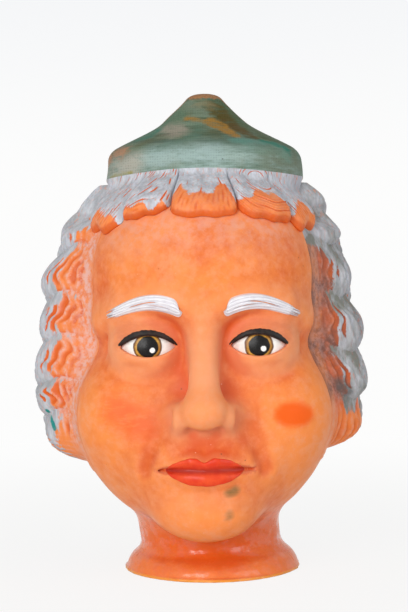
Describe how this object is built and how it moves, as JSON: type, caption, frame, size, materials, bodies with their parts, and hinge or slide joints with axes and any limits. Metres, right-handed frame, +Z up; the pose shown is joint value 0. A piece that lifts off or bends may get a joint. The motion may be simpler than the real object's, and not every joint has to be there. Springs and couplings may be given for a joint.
{
  "type": "finger puppet",
  "caption": "Hollow rubber finger puppet head with a flanged neck that takes a finger, a calm painted face, moulded grey curls and a pointed green cap",
  "frame": {"origin": "on the axis of the finger bore, in the plane of the collar's flat underside", "axes": "+Z up through the head, -Y the way the face looks, +X towards the puppet's left hand side, which is the viewer's right"},
  "size_m": [0.058, 0.0613, 0.082],
  "materials": {
    "rubber": "satin orange rubber with a pinkish bloom",
    "hair_paint": "grey-lilac paint brushed over orange rubber, worn on the undersides of the curls",
    "cap_paint": "green paint brushed over orange rubber, thin and brownish at the tip",
    "brow_paint": "thick pale paint with brush marks",
    "eye_paint": "glossy paint",
    "lip_paint": "satin red paint"
  },
  "bodies": {
    "root": {"head_shell": "rubber", "cap": "cap_paint", "fringe_curl_1": "hair_paint", "fringe_curl_2": "hair_paint", "fringe_curl_3": "hair_paint", "fringe_curl_4": "hair_paint", "fringe_curl_5": "hair_paint", "hair_lock_left_1": "hair_paint", "hair_lock_left_2": "hair_paint", "hair_lock_left_3": "hair_paint", "hair_lock_left_4": "hair_paint", "hair_lock_left_5": "hair_paint", "hair_lock_left_6": "hair_paint", "hair_lock_right_1": "hair_paint", "hair_lock_right_2": "hair_paint", "hair_lock_right_3": "hair_paint", "hair_lock_right_4": "hair_paint", "hair_lock_right_5": "hair_paint", "hair_lock_right_6": "hair_paint", "eye_left": "eye_paint", "eye_right": "eye_paint", "eyebrow_left": "brow_paint", "eyebrow_right": "brow_paint", "lip_paint": "lip_paint"}
  },
  "joints": []
}
